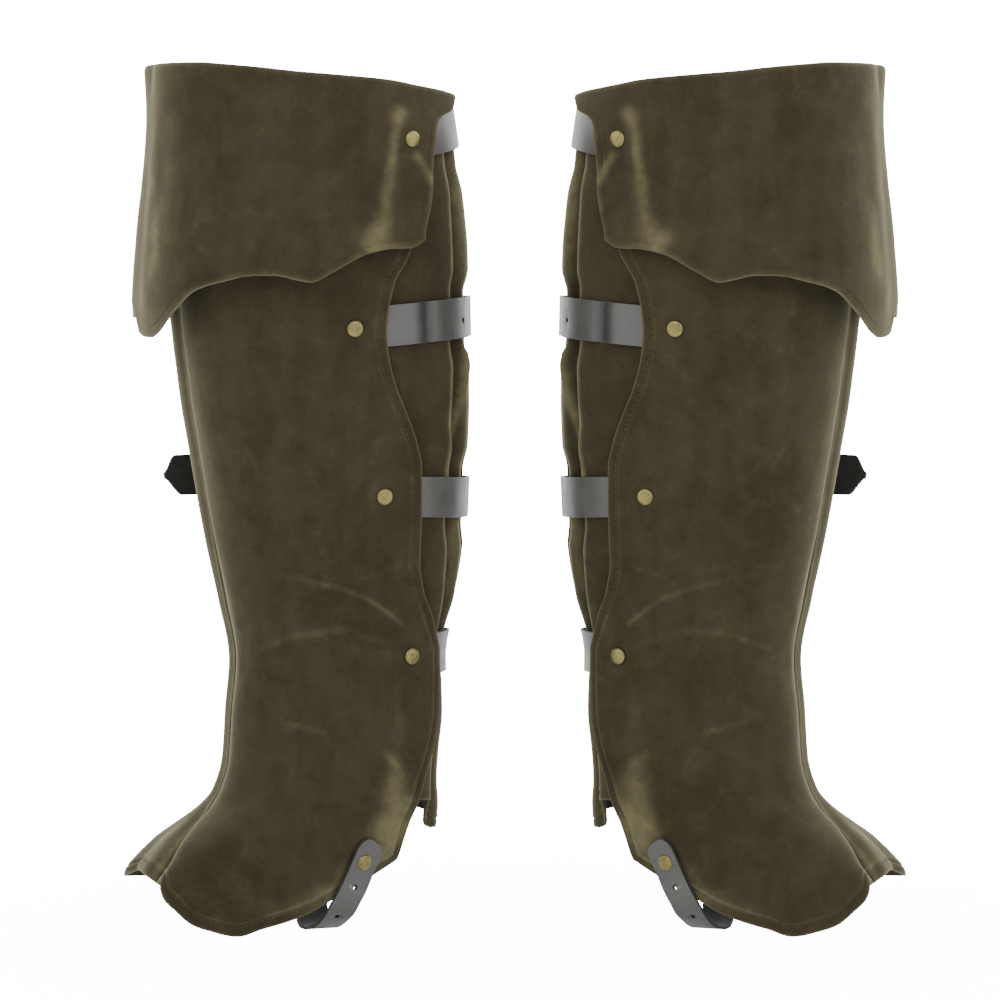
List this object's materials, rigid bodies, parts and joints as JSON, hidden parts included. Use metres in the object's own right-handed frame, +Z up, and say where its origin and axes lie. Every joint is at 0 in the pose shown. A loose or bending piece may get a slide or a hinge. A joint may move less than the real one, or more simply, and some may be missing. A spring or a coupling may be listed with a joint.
{
  "type": "pair of over-the-knee gaiters worn on a person's legs",
  "caption": "Pair of tall suede-look gaiters with turned-down cuffs, pleated backs, buckled straps round the leg and a strap under each foot.",
  "frame": {"origin": "midway between the wearer's two legs, at the height of the second strap, below the knee", "axes": "+X to the wearer's right, +Y to the side away from the picture's camera, +Z up along the legs. The toes point outwards, towards -X on the left gaiter and +X on the right, and 17 degrees towards -Y"},
  "size_m": [0.4926, 0.1672, 0.5345],
  "materials": {
    "suede": "dark olive brown imitation suede, matt nap",
    "strap": "black imitation leather, smooth with a soft gloss",
    "brass": "pale antique brass"
  },
  "bodies": {
    "root": {"left_outer_panel": "suede", "left_inner_panel": "suede", "left_cuff": "suede", "left_leg_strap_1": "strap", "left_chape_1": "strap", "left_buckle_1": "brass", "left_prong_1": "brass", "left_rivet_1": "brass", "left_chape_rivet_1": "brass", "left_leg_strap_2": "strap", "left_chape_2": "strap", "left_buckle_2": "brass", "left_prong_2": "brass", "left_rivet_2": "brass", "left_chape_rivet_2": "brass", "left_leg_strap_3": "strap", "left_chape_3": "strap", "left_buckle_3": "brass", "left_prong_3": "brass", "left_rivet_3": "brass", "left_chape_rivet_3": "brass", "left_leg_strap_4": "strap", "left_chape_4": "strap", "left_buckle_4": "brass", "left_prong_4": "brass", "left_rivet_4": "brass", "left_chape_rivet_4": "brass", "left_stirrup_strap": "strap", "left_stirrup_rivet_outer": "brass", "left_stirrup_rivet_inner": "brass", "right_outer_panel": "suede", "right_inner_panel": "suede", "right_cuff": "suede", "right_leg_strap_1": "strap", "right_chape_1": "strap", "right_buckle_1": "brass", "right_prong_1": "brass", "right_rivet_1": "brass", "right_chape_rivet_1": "brass", "right_leg_strap_2": "strap", "right_chape_2": "strap", "right_buckle_2": "brass", "right_prong_2": "brass", "right_rivet_2": "brass", "right_chape_rivet_2": "brass", "right_leg_strap_3": "strap", "right_chape_3": "strap", "right_buckle_3": "brass", "right_prong_3": "brass", "right_rivet_3": "brass", "right_chape_rivet_3": "brass", "right_leg_strap_4": "strap", "right_chape_4": "strap", "right_buckle_4": "brass", "right_prong_4": "brass", "right_rivet_4": "brass", "right_chape_rivet_4": "brass", "right_stirrup_strap": "strap", "right_stirrup_rivet_outer": "brass", "right_stirrup_rivet_inner": "brass"}
  },
  "joints": []
}
